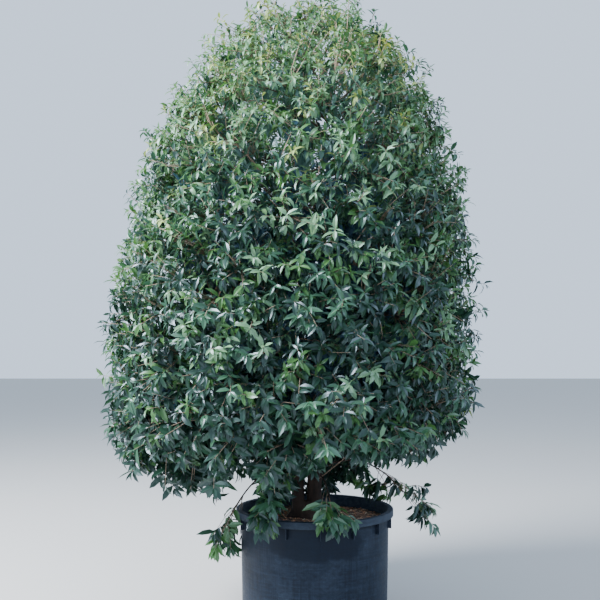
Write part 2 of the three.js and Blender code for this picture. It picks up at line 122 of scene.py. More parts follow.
def unit(vectors):
    """Vectors along the last axis, made one long."""
    length = norm(vectors, axis=-1, keepdims=True)
    return vectors / np.maximum(length, 1e-12)


def turns(count):
    """Even steps of a full turn."""
    return 2 * pi * np.arange(count) / count


def golden_turn(number):
    """Angles that spread evenly, however many there are."""
    return number * pi * (3 - sqrt(5))


class Curve:
    """A line through points, read by share of its length."""

    def __init__(self, points):
        self.points = np.asarray(points, float)
        steps = norm(np.diff(self.points, axis=0), axis=1)
        self.lengths = np.concatenate([[0.0], np.cumsum(steps)])
        self.length = self.lengths[-1]

    def at(self, share):
        along = np.clip(share, 0, 1) * self.length
        return np.stack([np.interp(along, self.lengths, axis) for axis in self.points.T], axis=-1)

    def evenly(self, count):
        return self.at(np.linspace(0, 1, count))

    def at_height(self, height):
        return self.at(self.share_at_height(height))

    def share_at_height(self, height):
        return float(np.interp(height, self.points[:, 2], self.lengths) / self.length)


def smooth_curve(points, per_span=40):
    """A curve through all the points, with even speed from point to point."""
    points = [np.asarray(p, float) for p in points]
    points = [2 * points[0] - points[1], *points, 2 * points[-1] - points[-2]]
    line = []
    for p0, p1, p2, p3 in zip(points, points[1:], points[2:], points[3:]):
        t0, t1, t2 = (norm(b - a) ** 0.5 for a, b in ((p0, p1), (p1, p2), (p2, p3)))
        slope1 = ((p1 - p0) / t0 - (p2 - p0) / (t0 + t1) + (p2 - p1) / t1) * t1
        slope2 = ((p2 - p1) / t1 - (p3 - p1) / (t1 + t2) + (p3 - p2) / t2) * t1
        for t in np.arange(per_span) / per_span:
            line.append((2 * t ** 3 - 3 * t ** 2 + 1) * p1 + (t ** 3 - 2 * t ** 2 + t) * slope1
                        + (3 * t ** 2 - 2 * t ** 3) * p2 + (t ** 3 - t ** 2) * slope2)
    line.append(points[-2])
    return Curve(line)


def bend(start, control, end, count):
    """Points of one arc or of many, from start towards control and on to end."""
    start, control, end = (np.asarray(p, float)[..., None, :] for p in (start, control, end))
    t = np.linspace(0, 1, count)[:, None]
    return (1 - t) ** 2 * start + 2 * t * (1 - t) * control + t ** 2 * end


def arc(start, control, end, points=41):
    return Curve(bend(start, control, end, points))


# The crown's form.

def crown_axis(height):
    height = np.asarray(height, float)
    (low, low_x), (high, high_x) = AXIS_LOW, AXIS_HIGH
    x = low_x + (height - low) / (high - low) * (high_x - low_x)
    return np.stack([x, np.zeros_like(x), height], axis=-1)


def crown_radius(height, angle):
    height = np.asarray(height, float)
    bottom = BOWL_HEIGHT - BOWL_TILT * np.cos(angle - BOWL_LOW_SIDE)
    above = np.clip((height - CROWN_WIDEST) / (CROWN_TOP - CROWN_WIDEST), 0, None) ** DOME_POWER
    below = np.clip((CROWN_WIDEST - height) / (CROWN_WIDEST - bottom), 0, None) ** BOWL_POWER
    return CROWN_RADIUS * np.sqrt(np.clip(1 - above - below, 0, None))


def on_crown(height, angle, share=1.0):
    outward = np.stack([np.cos(angle), np.sin(angle), np.zeros_like(angle)], axis=-1)
    return crown_axis(height) + outward * (crown_radius(height, angle) * share)[..., None]


def crown_points(count):
    """Evenly spread points on the crown, and the way inward from each."""
    edges = np.linspace(BOWL_HEIGHT - BOWL_TILT, CROWN_TOP, CROWN_BANDS + 1)
    radii = crown_radius(edges, 0.0)
    areas = (radii[1:] + radii[:-1]) * np.hypot(np.diff(edges), np.diff(radii))
    sums = np.concatenate([[0.0], np.cumsum(areas)])
    heights = np.interp((np.arange(count) + 0.5) / count * sums[-1], sums, edges)
    points = on_crown(heights, golden_turn(np.arange(count)))
    return points, unit(crown_axis(CROWN_MIDDLE) - points)


# Where the limbs run.

def stem_curves():
    """Each stem's curve, and its radius at the root and at the tip."""
    stems = {name: (smooth_curve(points), *radii) for name, (points, *radii) in STEMS.items()}
    root = stems["stem_left"][0].at_height(BACK_STEM_ROOT)
    stems["stem_back"] = (smooth_curve([root, *BACK_STEM]), *BACK_STEM_RADII)
    return stems


def nearest_stem(stems, height, angle):
    """The stem that lies furthest towards an angle at a height."""
    outward = np.array([cos(angle), sin(angle), 0.0])
    standing = [curve for curve, *_ in stems.values()
                if curve.at(0)[2] < height - STEM_LEAST and curve.at(1)[2] > height + STEM_LEAST]
    return max(standing, key=lambda curve: curve.at_height(height) @ outward)


def make_masses(stems):
    """Each foliage mass: its name, its seat and the curve of the bough that carries it."""
    masses = []
    for ring, count, height, first_angle, attach, attach_step in RINGS:
        for i in range(count):
            angle = radians(first_angle + 360 * i / count)
            seat = on_crown(height, angle, SEAT_SHARE)
            root_height = attach + attach_step * (i % 3)
            root = nearest_stem(stems, root_height, angle).at_height(root_height)
            control = (root + seat) / 2 + UP * BOUGH_LIFT * abs(seat[2] - root[2])
            masses.append(dict(ring=ring, name=f"foliage_{ring}_{i + 1}", seat=seat,
                               bough=f"bough_{ring}_{i + 1}", curve=arc(root, control, seat)))
    masses.append(dict(ring="high", name="foliage_top", seat=np.array(TOP_SEAT)))
    for mass in masses:
        if mass["name"] in MASSES_AT_TIPS:
            stem = stems[MASSES_AT_TIPS[mass["name"]]][0]
            tip = stem.at(1)
            reach = norm(mass["seat"] - tip) / 2
            onward = unit(tip - stem.at(0.98))
            mass.update(bough=None, curve=arc(tip, tip + onward * reach, mass["seat"]))
    return masses


def make_sprays(stems):
    sprays = []
    for i, (name, seat, stem_name) in enumerate(SPRAYS):
        root = stems[stem_name][0].at_height(SPRAY_ATTACH + SPRAY_ATTACH_STEP * i)
        seat = np.array(seat)
        control = (root + seat) / 2
        control[2] = max(root[2], seat[2]) + SPRAY_LIFT
        sprays.append(dict(name=f"spray_{name}", bough=f"shoot_{name}", seat=seat,
                           curve=arc(root, control, seat)))
    return sprays


def find_entries(masses, sprays):
    """Where along its limb's curve each mass begins."""
    seats = np.vstack([mass["seat"] for mass in masses] + [crown_axis(INNER_HEIGHTS)]
                      + [spray["seat"] for spray in sprays])
    shares = np.linspace(0, 1, ENTRY_STEPS + 1)
    for i, mass in enumerate(masses):
        gaps = norm(mass["curve"].at(shares)[:, None] - seats, axis=2)
        others = np.delete(gaps, i, axis=1).min(1)
        outside = np.flatnonzero(gaps[:, i] > others - ENTRY_MARGIN)
        mass["entry"] = shares[outside[-1] + 1] if mass["bough"] else 0.0


# Making meshes.

def new_mesh(name, vertices, faces, smooth=True):
    """A mesh from vertices and groups of faces with as many corners."""
    mesh = bpy.data.meshes.new(name)
    faces = [np.asarray(group) for group in faces if len(group)]
    corners = np.concatenate([group.ravel() for group in faces]).astype(np.int32)
    sizes = np.concatenate([np.full(len(group), group.shape[1]) for group in faces])
    mesh.vertices.add(len(vertices))
    mesh.vertices.foreach_set("co", np.asarray(vertices, np.float32).ravel())
    mesh.loops.add(len(corners))
    mesh.loops.foreach_set("vertex_index", corners)
    mesh.polygons.add(len(sizes))
    mesh.polygons.foreach_set("loop_start", (np.cumsum(sizes) - sizes).astype(np.int32))
    mesh.polygons.foreach_set("use_smooth", np.full(len(sizes), smooth))
    mesh.update(calc_edges=True)
    mesh.validate()
    return mesh


def add_to_scene(name, data):
    thing = bpy.data.objects.new(name, data)
    bpy.context.scene.collection.objects.link(thing)
    return thing


def make_piece(name, mesh_data, material, replaced=(), smooth=True):
    """A piece from (vertices, faces), with the solids that it stands for."""
    piece = add_to_scene(name, new_mesh(name, *mesh_data, smooth))
    piece.data.materials.append(material)
    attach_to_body(piece, "root")
    if replaced:
        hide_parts(*replaced)
    return piece


def bake_modifiers(piece):
    """Applies the piece's modifiers to its mesh."""
    graph = bpy.context.evaluated_depsgraph_get()
    made = bpy.data.meshes.new_from_object(piece.evaluated_get(graph))
    piece.modifiers.clear()
    piece.data = made


def ring_quads(index):
    """Faces between rings of points, where index's last axis runs round a ring."""
    here, following = index[..., :-1, :], index[..., 1:, :]
    quads = [here, np.roll(here, -1, -1), np.roll(following, -1, -1), following]
    return np.stack(quads, axis=-1).reshape(-1, 4)


def axis_frame(axis):
    """Two directions across each axis."""
    level = np.where(np.abs(axis[:, 2:]) > 0.9, [[1.0, 0, 0]], [[0, 0, 1.0]])
    side = unit(np.cross(axis, level))
    return side, np.cross(axis, side)


def twig_tubes(paths, radii, sides):
    """Many tubes at once: paths (n, steps, 3) and radii (n, steps)."""
    count, steps, _ = paths.shape
    tangents = unit(np.gradient(paths, axis=1))
    reference, _ = axis_frame(unit(paths[:, -1] - paths[:, 0]))
    side = unit(np.cross(tangents, reference[:, None, :]))
    over = np.cross(tangents, side)
    turn = turns(sides)
    ring = side[:, :, None] * np.cos(turn)[:, None] + over[:, :, None] * np.sin(turn)[:, None]
    vertices = paths[:, :, None] + ring * radii[:, :, None, None]
    index = np.arange(count * steps * sides).reshape(count, steps, sides)
    ends = np.concatenate([index[:, 0, ::-1], index[:, -1]])
    return vertices.reshape(-1, 3), [ring_quads(index), ends]


def make_twigs(name, paths, radii, sides, material, replaced=()):
    """A piece of many twigs that taper from the first radius to the second."""
    thickness = np.linspace(*radii, paths.shape[1])[None].repeat(len(paths), 0)
    make_piece(name, twig_tubes(paths, thickness, sides), material, replaced)


def join_meshes(parts):
    """One (vertices, faces) from several."""
    vertices, groups, start = [], [], 0
    for part_vertices, part_faces in parts:
        vertices.append(part_vertices)
        groups.extend(group + start for group in part_faces)
        start += len(part_vertices)
    return np.vstack(vertices), groups


# The bark's relief: fineness and depth of its furrows and lumps.
FURROW_SCALE = Vector((90, 90, 14))
FURROW_DEPTH = 0.5
LUMP_SCALE = 22
LUMP_DEPTH = 0.8
LIMB_RELIEF = 0.06


def bark_relief(point):
    """How far bark stands out at a point, from about -1 to 1."""
    furrow = noise.noise(point * FURROW_SCALE)
    lump = noise.noise(point * LUMP_SCALE)
    return FURROW_DEPTH * furrow + LUMP_DEPTH * lump


def taper(root_radius, tip_radius, start=0.0, end=1.0, collar=0.0):
    """A limb's radius by share of its length, with a swollen collar at its root."""
    def radius_at(share):
        swell = 1 + collar * np.maximum(0, 1 - share / COLLAR_SHARE) ** 2
        return (root_radius + (tip_radius - root_radius) * (share - start) / (end - start)) * swell
    return radius_at


def bark_tube(curve, radius_at, sides, start=0.0, end=1.0, spacing=0.02):
    """A limb with lumps and shallow furrows in its bark."""
    steps = max(6, int(curve.length * (end - start) / spacing))
    shares = np.linspace(start, end, steps)
    path = curve.at(shares)
    vertices, faces = twig_tubes(path[None], radius_at(shares)[None], sides)
    centres = np.repeat(path, sides, axis=0)
    lumps = np.array([bark_relief(Vector(point)) for point in vertices])
    return centres + (vertices - centres) * (1 + LIMB_RELIEF * lumps)[:, None], faces


# Materials.

def linear(code):
    """A colour for a shader from six hexadecimal digits."""
    parts = [int(code[i:i + 2], 16) / 255 for i in (0, 2, 4)]
    return (*[c / 12.92 if c <= 0.04045 else ((c + 0.055) / 1.055) ** 2.4 for c in parts], 1.0)


class Look:
    """A material under way, with the nodes that feed its shader."""

    def __init__(self, name):
        self.material = bpy.data.materials.new(name)
        self.material.use_nodes = True
        self.tree = self.material.node_tree
        self.shader = self.tree.nodes["Principled BSDF"]

    def feed(self, node, *values, **named):
        """Links or sets a node's inputs, in order or by name, where _ stands for a space."""
        named = {name.replace("_", " "): value for name, value in named.items()}
        for name, value in (*enumerate(values), *named.items()):
            if isinstance(value, bpy.types.NodeSocket):
                self.tree.links.new(value, node.inputs[name])
            else:
                node.inputs[name].default_value = value

    def shade(self, **inputs):
        """Feeds the shader and returns the material."""
        self.feed(self.shader, **inputs)
        return self.material

    def node(self, kind, output, *values, setting=None, **named):
        """One output of a new node."""
        node = self.tree.nodes.new(f"ShaderNode{kind}")
        if setting:
            setattr(node, *setting)
        self.feed(node, *values, **named)
        return node.outputs[output]

    def maths(self, operation, *values, kind="Math", output="Value"):
        return self.node(kind, output, *values, setting=("operation", operation))

    def vector_maths(self, operation, *values):
        output = "Value" if operation in ("LENGTH", "DOT_PRODUCT") else "Vector"
        return self.maths(operation, *values, kind="VectorMath", output=output)

    def place(self):
        return self.node("TexCoord", "Object")

    def noise(self, scale, detail=4.0, roughness=0.55, stretch=(1, 1, 1)):
        vector = self.node("Mapping", "Vector", Vector=self.place(), Scale=stretch)
        return self.node("TexNoise", "Fac", Vector=vector, Scale=scale, Detail=detail,
                         Roughness=roughness)

    def ramp(self, factor, *stops):
        """A colour from stops of position and hexadecimal colour."""
        node = self.tree.nodes.new("ShaderNodeValToRGB")
        elements = node.color_ramp.elements
        while len(elements) < len(stops):
            elements.new(0.5)
        for element, (position, code) in zip(elements, stops):
            element.position = position
            element.color = linear(code)
        self.feed(node, factor)
        return node.outputs["Color"]

    def mix(self, factor, first, second):
        return self.node("Mix", "Result", setting=("data_type", "RGBA"),
                         Factor=factor, A=first, B=second)

    def span(self, value, low, high, to_low, to_high):
        """The value, carried from one range to another."""
        return self.node("MapRange", "Result", value, low, high, to_low, to_high)

    def bump(self, height, strength, distance):
        return self.node("Bump", "Normal", Height=height, Strength=strength, Distance=distance)


# The share of light that a leaf lets through, and its gloss.
LEAF_THROUGH = 0.22
LEAF_GLOSS = 0.65
LEAF_GLOSS_COLOUR = "dae7fb"


def leaf_material(name, colour, glow, roughness):
    """A glossy leaf that lets some light through."""
    look = Look(name)
    look.shade(Base_Color=linear(colour), Roughness=roughness,
               Specular_IOR_Level=LEAF_GLOSS, Specular_Tint=linear(LEAF_GLOSS_COLOUR))
    lit = look.node("BsdfTranslucent", "BSDF", Color=linear(glow))
    glossy = look.shader.outputs["BSDF"]
    leaf = look.node("MixShader", "Shader", LEAF_THROUGH, glossy, lit)
    look.feed(look.tree.nodes["Material Output"], Surface=leaf)
    return look.material


def plain_material(name, colour, roughness):
    return Look(name).shade(Base_Color=linear(colour), Roughness=roughness)


def bark_material():
    look = Look("bark_material")
    broad = look.noise(9, detail=5)
    fine = look.noise(60, detail=6, roughness=0.65, stretch=(1, 1, 0.3))
    furrows = look.noise(28, detail=5, stretch=(1, 1, 0.16))
    # Dark brown bark, its colours darkened further as painted shade from the crown.
    base = look.ramp(broad, (0.3, "1c1310"), (0.5, "33251d"), (0.72, "4c3d32"))
    grain = look.ramp(fine, (0.3, "120c09"), (0.55, "3a2b22"), (0.8, "57493e"))
    return look.shade(Base_Color=look.mix(furrows, base, grain),
                      Roughness=look.span(fine, 0, 1, 0.75, 0.95),
                      Normal=look.bump(furrows, 0.7, 0.004))


# Painted shadow of the crown on the pot's front, darkest under the rim: its middle and its size.
POT_CROWN_SHADOW = (0.0, -0.42, 0.52)
POT_CROWN_SHADOW_SIZE = (0.26, 0.3, 0.1)
# Painted shade under the rim darkens the wall between these heights.
POT_UNDER_RIM_SHADE = (0.575, 0.602)
# Painted light: the rim is paler, from one of these radii to the other.
POT_LIT_RIM = (0.44, 0.446)
POT_GLOSS_COLOUR = "c4d4ec"


def pot_material():
    """Dull blue-black plastic with bands and scuffs, painted shadow and shade below the rim, and
    painted light on the rim band and the inner wall.
    """
    look = Look("pot_material")
    place = look.place()
    bands = look.noise(90, roughness=0.6, stretch=(0.03, 0.03, 1))
    lines = look.noise(110, roughness=0.6, stretch=(1, 1, 0.04))
    mottle = look.noise(60, detail=6, roughness=0.7, stretch=(0.6, 0.6, 1))
    scuffs = look.noise(9, detail=6, roughness=0.6, stretch=(0.8, 0.8, 1))
    broad = look.noise(4, detail=5, roughness=0.6)

    def mottled(dark, pale):
        return look.ramp(mottle, (0.3, dark), (0.7, pale))

    weave = look.span(look.maths("ADD", bands, lines), 0.7, 1.3, 0, 1)
    banded = look.ramp(weave, (0.25, "080d15"), (0.5, "0f1723"), (0.75, "1c2533"))
    spotted = look.ramp(mottle, (0.36, "0a0f18"), (0.52, "121a26"), (0.7, "212b39"))
    body = look.mix(look.span(broad, 0.35, 0.65, 0.25, 0.8), banded, spotted)
    worn = look.span(scuffs, 0.45, 0.7, 0, 0.6)
    surface = look.mix(worn, body, mottled("171e2a", "2f3947"))

    # A darker patch on the front: painted shadow of the crown.
    away = look.vector_maths("SUBTRACT", place, POT_CROWN_SHADOW)
    reach = look.vector_maths("LENGTH", look.vector_maths("DIVIDE", away, POT_CROWN_SHADOW_SIZE))
    crown_shadow = look.span(look.maths("MULTIPLY_ADD", broad, 1.2, reach), 1.5, 1.7, 0.85, 0)
    shadowed = look.mix(crown_shadow, surface, mottled("010610", "040c1a"))

    # Darker just below the rim's skirt: painted shade under the rim.
    height = look.node("SeparateXYZ", "Z", place)
    below = look.maths("LESS_THAN", height, POT_UNDER_RIM_SHADE[1])
    under_rim_shade = look.maths("MULTIPLY", look.span(height, *POT_UNDER_RIM_SHADE, 0, 0.8), below)
    wall = look.mix(under_rim_shade, shadowed, mottled("010204", "03060a"))

    # Painted light on the rim band.
    flat = look.vector_maths("MULTIPLY", place, (1, 1, 0))
    lit_rim = look.span(look.vector_maths("LENGTH", flat), *POT_LIT_RIM, 0, 1)
    outside = look.mix(lit_rim, wall, mottled("181e28", "303945"))
    # Painted light: the inner wall is paler than the outside.
    facing = look.vector_maths("DOT_PRODUCT", flat, look.node("NewGeometry", "Normal"))
    inside = look.span(facing, -0.3, -0.1, 1, 0)
    gloss = linear(POT_GLOSS_COLOUR)
    return look.shade(
        Base_Color=look.mix(inside, outside, mottled("2c3646", "56626f")),
        Roughness=look.span(mottle, 0.3, 0.8, 0.46, 0.7),
        Specular_IOR_Level=0.25, Specular_Tint=gloss, Sheen_Weight=0.05, Sheen_Tint=gloss,
        Normal=look.bump(look.maths("ADD", bands, mottle), 0.35, 0.0018))


def mix_material():
    look = Look("potting_mix_material")
    crumbs = look.noise(70, detail=8, roughness=0.75)
    # Brown mix with redder patches, its colours lifted as painted light against the crown's shade.
    base = look.ramp(crumbs, (0.3, "2a211c"), (0.5, "665244"), (0.7, "9a8270"))
    redder = look.ramp(crumbs, (0.3, "402a1e"), (0.55, "8c624c"), (0.75, "c09478"))
    share = look.span(look.noise(8), 0.45, 0.65, 0, 0.8)
    return look.shade(Base_Color=look.mix(share, base, redder), Roughness=0.97,
                      Normal=look.bump(crumbs, 1.0, 0.006))


def chip_material(name, dark, pale):
    look = Look(name)
    grain = look.noise(90, detail=5)
    return look.shade(Base_Color=look.ramp(grain, (0.35, dark), (0.7, pale)), Roughness=0.9,
                      Normal=look.bump(grain, 0.5, 0.002))


# Leaf tints: name, leaf colour, colour of the light that comes through, roughness.
TINTS = {
    # The inner tints are bluer and paler than the leaves' own: painted blue fill light in the
    # crown's shade.
    "inner": ("47697e", "4a7068", 0.4),
    "pale_inner": ("668a86", "789c7e", 0.4),
    "deep": ("213a2f", "30553b", 0.32),
    "plain": ("375a44", "477546", 0.33),
    "green": ("426938", "53813a", 0.36),
    "pale": ("6a906c", "7ea666", 0.38),
    "fresh": ("92a562", "a2b660", 0.42),
    "yellow": ("a9b24c", "b6bd50", 0.5),
}
LEAF_MATERIALS = {name: leaf_material(f"leaf_{name}_material", *values)
                  for name, values in TINTS.items()}
BARK = bark_material()
YOUNG_BARK = plain_material("young_bark_material", "94806e", 0.75)
OLD_BARK = plain_material("twig_material", "574a3e", 0.85)


# Stems and boughs.

def make_limbs(stems, masses, sprays):
    for name, (curve, *radii) in stems.items():
        start = 0.0 if name == "stem_back" else curve.share_at_height(FORK_TOP - FORK_OVERLAP)
        tube = bark_tube(curve, taper(*radii), sides=14, start=start)
        make_piece(f"{name}_bark", tube, BARK, [name])
    tubes = []
    for mass in masses:
        entry = mass["entry"]
        if mass["bough"]:
            swollen = taper(*BOUGH_RADII, end=entry, collar=BOUGH_COLLAR)
            tubes.append(bark_tube(mass["curve"], swollen, sides=9, end=entry))
        thin = taper(BOUGH_RADII[1], MASS_TIP_RADIUS, start=entry)
        tubes.append(bark_tube(mass["curve"], thin, sides=7, start=entry))
    names = [mass["bough"] for mass in masses if mass["bough"]]
    make_piece("boughs_bark", join_meshes(tubes), BARK, names)
    tubes = [bark_tube(spray["curve"], taper(*SPRAY_RADII, collar=SPRAY_COLLAR), sides=7)
             for spray in sprays]
    names = [spray["bough"] for spray in sprays]
    make_piece("shoots_bark", join_meshes(tubes), BARK, names)


BARE_COUNT = 26
BARE_ROOTS = (0.74, 1.08)
BARE_RADII = (0.0042, 0.002)
BARE_REACH = (0.22, 0.55)
BARE_RISE = (0.12, 0.4)
BARE_SAG = 0.03
BARE_SCATTER = 0.05
BARE_TURN = 0.3


def make_bare_twigs(stems):
    """Bare twigs that rise from the stems into the underside of the crown."""
    random = seeded("bare")
    paths = []
    for i in range(BARE_COUNT):
        stem = stems[("stem_left", "stem_right")[i % 2]][0]
        root = stem.at_height(random.uniform(*BARE_ROOTS))
        angle = golden_turn(i) + random.uniform(-BARE_TURN, BARE_TURN)
        reach = random.uniform(*BARE_REACH)
        end = root + np.array([cos(angle) * reach, sin(angle) * reach,
                               random.uniform(*BARE_RISE)])
        scatter = random.normal(0, BARE_SCATTER, 3)
        control = (root + end) / 2 + scatter - UP * BARE_SAG
        paths.append(arc(root, control, end).evenly(9))
    make_twigs("bare_twigs", np.array(paths), BARE_RADII, 5, YOUNG_BARK)


# The trunk's oval foot, with half its size across and from front to back.
TRUNK_FOOT = 0.5853
TRUNK_MIDDLE = -0.042
TRUNK_RADII = np.array([0.078, 0.038])
FLARE_RADII = np.array([0.116, 0.082])
FLARE_HEIGHT = 0.09
FLARE_LOBES = 5
FLARE_LOBE_DEPTH = 0.15
# The lower ends of the stems in the trunk: name, rings, sides and how much thicker.
TRUNK_STEMS = (("stem_left", 40, 20, 1.0), ("stem_right", 40, 20, 1.0),
               ("stem_back", 12, 16, 1.02))
BACK_STEM_IN_TRUNK = 0.15
TRUNK_VOXEL = 0.005
TRUNK_SMOOTHING = 4
TRUNK_RELIEF = 0.0028
# The bark's relief begins this far above the foot's flat cut.
TRUNK_CUT = 0.0037


def trunk_foot(sides=40, steps=12):
    turn = turns(sides)
    rings = []
    for rise in np.arange(steps + 1) / steps:
        flare = (1 - rise) ** 2
        lobe = 1 + FLARE_LOBE_DEPTH * flare * np.cos(FLARE_LOBES * turn)
        radius_x, radius_y = TRUNK_RADII + (FLARE_RADII - TRUNK_RADII) * flare
        rings.append(np.stack([TRUNK_MIDDLE + radius_x * lobe * np.sin(turn),
                               -radius_y * lobe * np.cos(turn),
                               np.full(sides, TRUNK_FOOT + rise * FLARE_HEIGHT)], axis=1))
    index = np.arange((steps + 1) * sides).reshape(steps + 1, sides)
    return np.vstack(rings), [ring_quads(index), index[:1, ::-1], index[-1:]]


def make_trunk(stems):
    """A flared foot and the lower ends of the stems, run together."""
    tubes = [trunk_foot()]
    for name, rings, sides, swell in TRUNK_STEMS:
        curve, *radii = stems[name]
        end = BACK_STEM_IN_TRUNK if name == "stem_back" else curve.share_at_height(FORK_TOP)
        shares = np.linspace(0, end, rings)
        thickness = taper(*radii)(shares)[None] * swell
        tubes.append(twig_tubes(curve.at(shares)[None], thickness, sides))
    trunk = make_piece("trunk_bark", join_meshes(tubes), BARK, ["trunk"])
    remesh = trunk.modifiers.new("remesh", "REMESH")
    remesh.mode = "VOXEL"
    remesh.voxel_size = TRUNK_VOXEL
    trunk.modifiers.new("smooth", "SMOOTH").iterations = TRUNK_SMOOTHING
    bake_modifiers(trunk)
    for vertex in trunk.data.vertices:
        if vertex.co.z > TRUNK_FOOT + TRUNK_CUT:
            vertex.co += vertex.normal * TRUNK_RELIEF * bark_relief(vertex.co)
    trunk.data.shade_smooth()


# Leaves: each is a folded blade of two halves, curved down along its length.
# Inner leaves are larger than life, as each stands for many.
LEAF_SHARES = np.array([0.0, 0.3, 0.66, 1.0])
LEAF_WIDTHS = np.array([0.0, 0.94, 0.86, 0.0])
# A leaf's points: four on its rib and two on its left edge, and as many for its right.
LEAF_QUADS = np.array([[1, 2, 5, 4], [10, 11, 8, 7]])
LEAF_ENDS = np.array([[0, 1, 4], [5, 2, 3], [10, 7, 6], [9, 8, 11]])
LEAF_SIZE = (0.076, 0.0265)
RIM_LEAF_SIZE = (0.086, 0.03)
INNER_LEAF_SIZE = (0.12, 0.05)
LEAF_BREADTHS = (0.85, 1.15)
LEAF_FOLD = 0.32
FOLD_SPREAD = 0.12
# Heights, and how far leaves curve down there.
LEAF_RECURVE = ((2.0, 3.0), (0.62, 1.1))
RECURVE_SPREAD = 0.3


def leaf_blades(base, direction, upper, length, width, fold, recurve):
    """Many leaves at once; every argument has one row a leaf."""
    shares, widths = LEAF_SHARES, LEAF_WIDTHS
    along = unit(direction)
    over = unit(upper - (upper * along).sum(1, keepdims=True) * along)
    across = np.cross(along, over)
    turn = recurve[:, None] * (shares[1:] + shares[:-1]) / 2
    forward = np.cos(turn)[..., None] * along[:, None] - np.sin(turn)[..., None] * over[:, None]
    rib = np.concatenate([np.zeros((len(base), 1, 3)),
                          np.cumsum(forward * np.diff(shares)[:, None], axis=1)], axis=1)
    rib = base[:, None] + rib * length[:, None, None]
    turn = (recurve[:, None] * shares)[:, 1:-1, None]
    normal = np.sin(turn) * along[:, None] + np.cos(turn) * over[:, None]
    half = (width[:, None] / 2 * widths)[:, 1:-1, None]
    rise = np.sin(fold)[:, None, None] * normal * half
    reach = np.cos(fold)[:, None, None] * across[:, None] * half
    left = rib[:, 1:-1] + reach + rise
    right = rib[:, 1:-1] - reach + rise
    vertices = np.concatenate([rib, left, rib, right], axis=1)
    starts = np.arange(len(base))[:, None, None] * vertices.shape[1]
    faces = [(LEAF_QUADS + starts).reshape(-1, 4), (LEAF_ENDS + starts).reshape(-1, 3)]
    return vertices.reshape(-1, 3), faces


# Primary twigs go from each mass's stem to points under the crown's surface, and shoots
# from the twigs to points through its outer shell.
PRIMARY_COUNT = 360
PRIMARY_INSET = 0.2
PRIMARY_SCATTER = 0.05
PRIMARY_RADII = (0.0055, 0.0022)
PRIMARY_FROM = 0.25
PRIMARY_LIFT = 0.18
PRIMARY_BEND = 0.05
SHOOT_COUNT = 9000
SHOOT_SCATTER = 0.03
SHOOT_RADII = (0.0024, 0.0012)
SHOOT_STEPS = 3
SHOOT_REACH = 0.62
OUTER_INSET = 0.005
INSET_SPREAD = 0.12
# How often the shell swells and sinks in a metre, and how deep.
CLUMPS = ((3.0, 0.09), (8.0, 0.12))
TIP_TOP = 3.7
# Heights, and how much deeper shoots end there, and how deep the outermost ones end.
TOP_INSET = ((3.1, 3.5), (0.0, 0.07))
LEAST_INSET = ((2.4, 3.4), (-0.015, 0.02))
# A few shoots above this height stand out of the shell.
LEADER_SHARE = 0.02
LEADER_FLOOR = 2.4
LEADER_INSET = (-0.045, -0.015)
INNER_COUNT = 2300
INNER_INSET = (0.3, 0.62)
INNER_SCATTER = 0.04
# Heights and the share of shoots kept there, in the outer shell and behind it.
SHOOTS_KEPT = ((1.2, 2.0, 2.6, 3.2), (0.88, 0.95, 0.9, 0.84))
INNER_KEPT = ((1.9, 2.5), (1.0, 0.45))
# No shoot ends in these boxes, given by two corners: before and beside the stems, over the
# rim's left, and where the crown's outline runs further in.
OPEN_PLACES = (
    ((-0.142, -2, 0), (0.058, 0.1, 0.89)),
    ((-0.46, -2, 0), (-0.28, -0.1, 0.94)),
    ((0.05, -2, 0), (0.23, 0, 1.03)),
    ((-2, -2, 0), (-0.99, 2, 0.95)),
    ((-2, -2, 0), (-0.88, 2, 0.88)),
    ((0.37, -2, 3.34), (2, 2, 4)),
    ((-2, -2, 3.42), (-0.46, 2, 4)),
)
# Shoots that hang below the crown: count, middle and spread.
HANGING = (
    (60, (-0.34, -0.56, 0.87), (0.09, 0.13, 0.045)),
    (50, (-0.68, -0.16, 0.87), (0.09, 0.2, 0.035)),
    (36, (-0.23, -0.36, 0.83), (0.05, 0.08, 0.05)),
    (70, (-0.08, 0.36, 0.78), (0.17, 0.08, 0.05)),
    (24, (0.2, 0.3, 0.82), (0.08, 0.08, 0.04)),
)
# Shoots that stand out from the outline against the sky.
STANDING = np.array([(-0.4, -0.02, 3.57), (-0.81, 0.0, 3.06), (0.24, -0.03, 3.58),
                     (0.39, 0.0, 3.4), (0.46, 0.02, 3.32)])


def in_open_place(points):
    return np.any([np.all((points > low) & (points < high), axis=1)
                   for low, high in OPEN_PLACES], axis=0)


def outward_at(points):
    return unit(points - crown_axis(CROWN_MIDDLE))


def thin_out(tips, inward, shares, random):
    """A share of the tips, none in an open place, and the ways that their shoots face."""
    kept = (random.random(len(tips)) < shares) & ~in_open_place(tips)
    return tips[kept], -inward[kept]


def make_shoot_tips(random):
    """Shoot tips through the crown's outer shell, fewer where the sky shows through."""
    points, inward = crown_points(SHOOT_COUNT)
    points += random.normal(0, SHOOT_SCATTER, points.shape)
    heights = points[:, 2]
    insets = OUTER_INSET + random.exponential(INSET_SPREAD, len(points))
    insets += np.interp(heights, *TOP_INSET)
    for frequency, depth in CLUMPS:
        insets += depth * np.array([noise.noise(Vector(point * frequency)) for point in points])
    insets = np.clip(insets, np.interp(heights, *LEAST_INSET), SHOOT_REACH)
    leaders = (random.random(len(points)) < LEADER_SHARE) & (heights > LEADER_FLOOR)
    insets = np.where(leaders, random.uniform(*LEADER_INSET, len(points)), insets)
    tips = points + inward * insets[:, None]
    tips[:, 2] = np.minimum(tips[:, 2], TIP_TOP)
    return thin_out(tips, inward, np.interp(heights, *SHOOTS_KEPT), random)


def make_hanging_tips():
    random = seeded("hanging")
    tips = np.vstack([random.normal(0, 1, (count, 3)) * spread + middle
                      for count, middle, spread in HANGING])
    tips = tips[~in_open_place(tips)]
    return tips, outward_at(tips)


